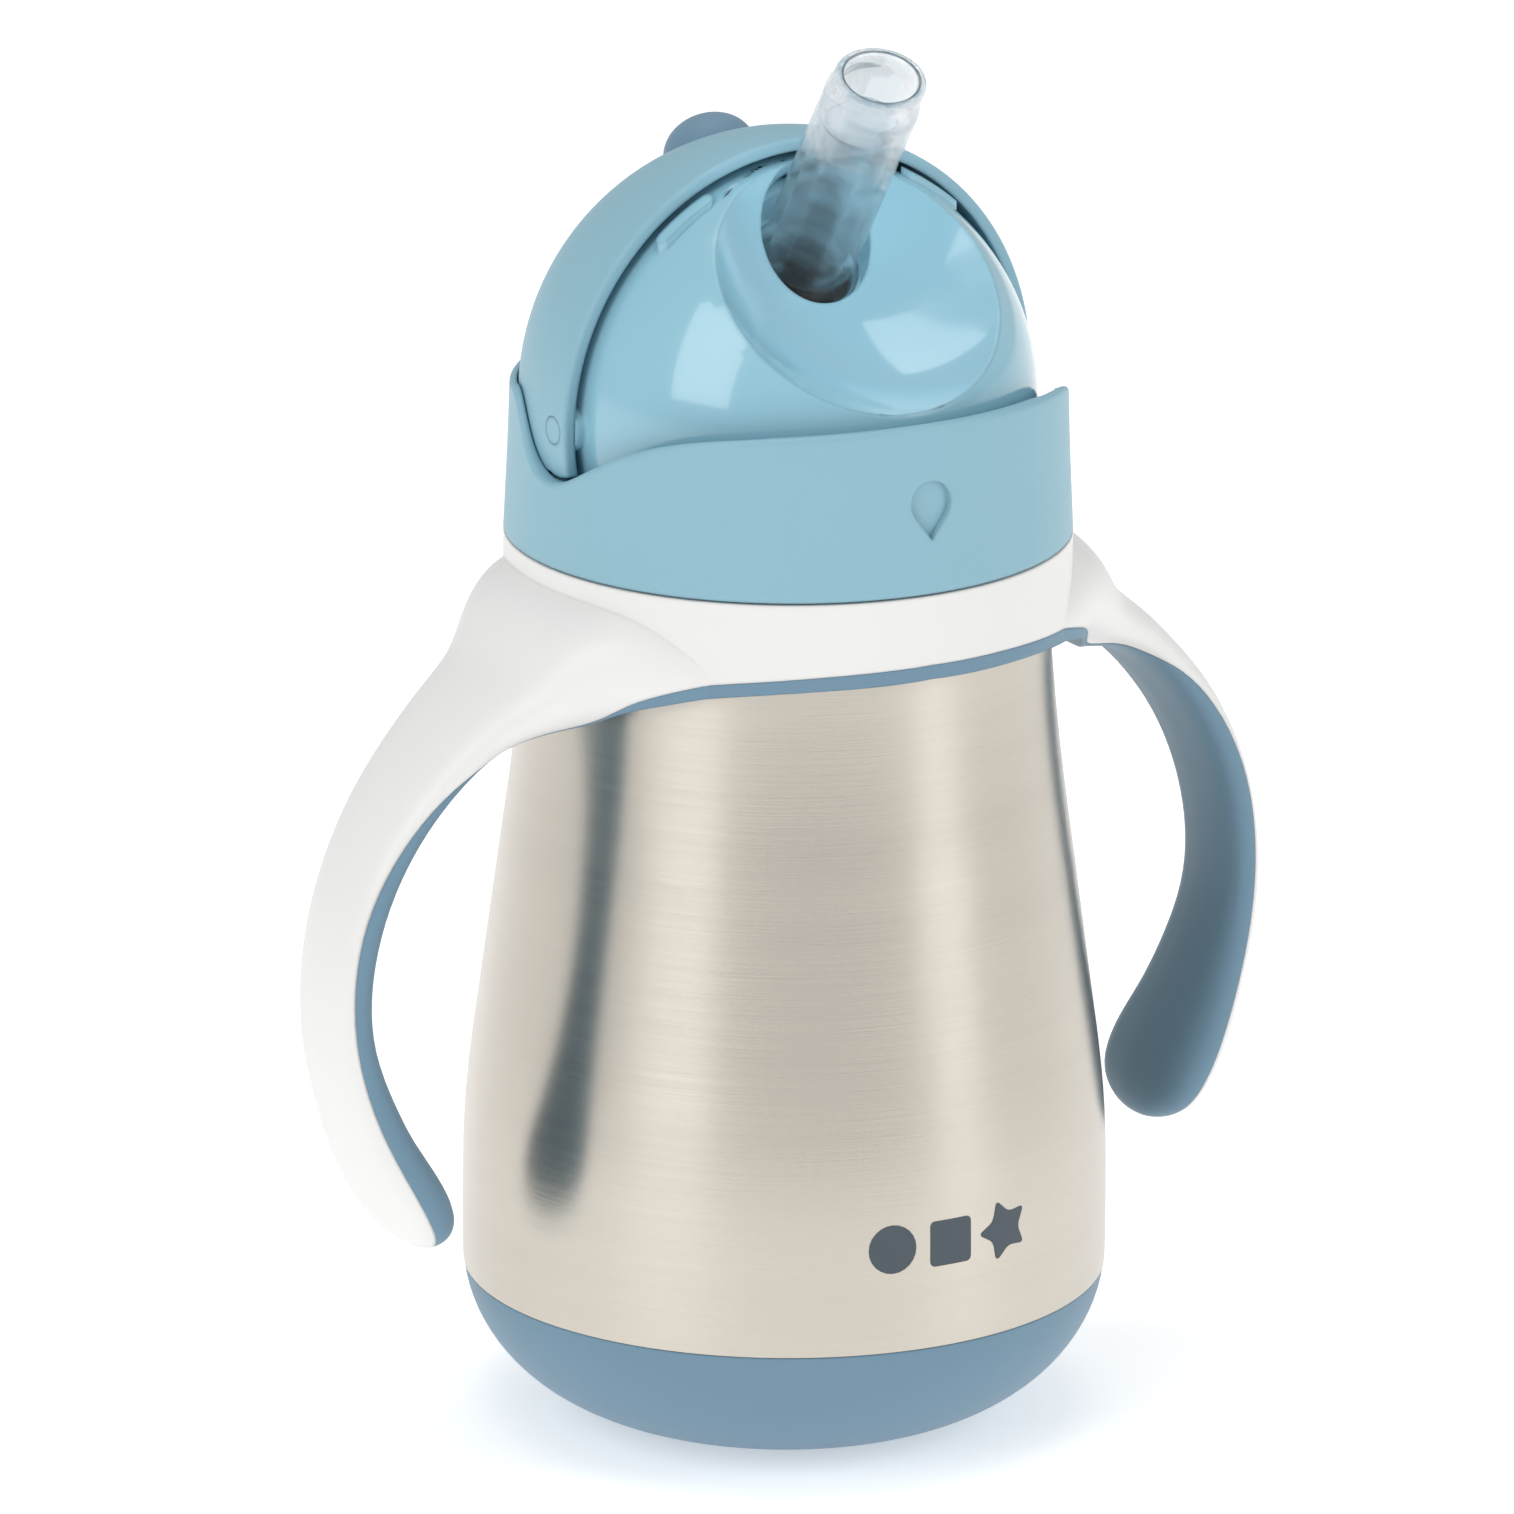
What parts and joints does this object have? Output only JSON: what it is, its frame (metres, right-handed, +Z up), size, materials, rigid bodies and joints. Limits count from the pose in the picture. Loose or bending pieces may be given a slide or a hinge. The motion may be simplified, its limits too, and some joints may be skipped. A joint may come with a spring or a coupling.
{
  "type": "sippy cup",
  "caption": "Insulated steel toddler cup with side handles, screw lid, rotating cover and folding silicone spout on a straw.",
  "frame": {"origin": "centre of the foot, on the surface the cup stands on", "axes": "+Z up, -Y the drinking side (the spout leans that way), handles along X"},
  "size_m": [0.1326, 0.08, 0.1776],
  "materials": {
    "brushed_steel": "horizontally brushed",
    "inner_steel": "electropolished",
    "seal_metal": "dull",
    "soft_grey_blue": "soft touch",
    "white_plastic": "satin",
    "light_blue_matte": "fine matte",
    "light_blue_gloss": "polished",
    "clear_silicone": "clear",
    "clear_straw": "clear"
  },
  "bodies": {
    "vessel": {"outer_shell": "brushed_steel", "shell_base": "brushed_steel", "vacuum_plug": "seal_metal", "inner_vessel": "inner_steel", "inner_floor": "inner_steel", "base_boot": "soft_grey_blue", "handle_ring": "white_plastic", "handle_soft_grip": "soft_grey_blue"},
    "seal": {"lid_gasket": "clear_silicone"},
    "lid": {"lid_collar": "light_blue_matte", "lid_dome": "light_blue_gloss", "air_vent_valve": "clear_silicone", "pivot_pin_left": "light_blue_matte", "pivot_pin_right": "light_blue_matte", "spout_base": "clear_silicone", "lower_straw": "clear_straw"},
    "cover": {"rotating_cover": "light_blue_matte", "cover_thumb_grip": "soft_grey_blue"},
    "spout": {"spout_tube": "clear_silicone"}
  },
  "joints": [
    {"name": "lid_rise", "type": "slide", "parent": "vessel", "child": "seal", "axis": [0, 0, 1], "range_m": [0, 0.0064]},
    {"name": "lid_turn", "type": "hinge", "parent": "seal", "child": "lid", "pos_m": [0, 0, 0.113], "axis": [0, 0, 1], "range_deg": [0, 630]},
    {"name": "cover_hinge", "type": "hinge", "parent": "lid", "child": "cover", "pos_m": [0, 0, 0.1297], "axis": [1, 0, 0], "range_deg": [0, 76], "deforming": ["spout_tube"]},
    {"name": "spout_fold", "type": "hinge", "parent": "lid", "child": "spout", "pos_m": [0, -0.00873, 0.15532], "axis": [1, 0, 0], "range_deg": [0, 101.34], "deforming": ["spout_tube"]}
  ],
  "couplings": [
    {"joint": "lid_rise", "follows": "lid_turn", "m_per_rad": 0.00057296},
    {"joint": "spout_fold", "follows": "cover_hinge", "ratio": 1.3333}
  ]
}
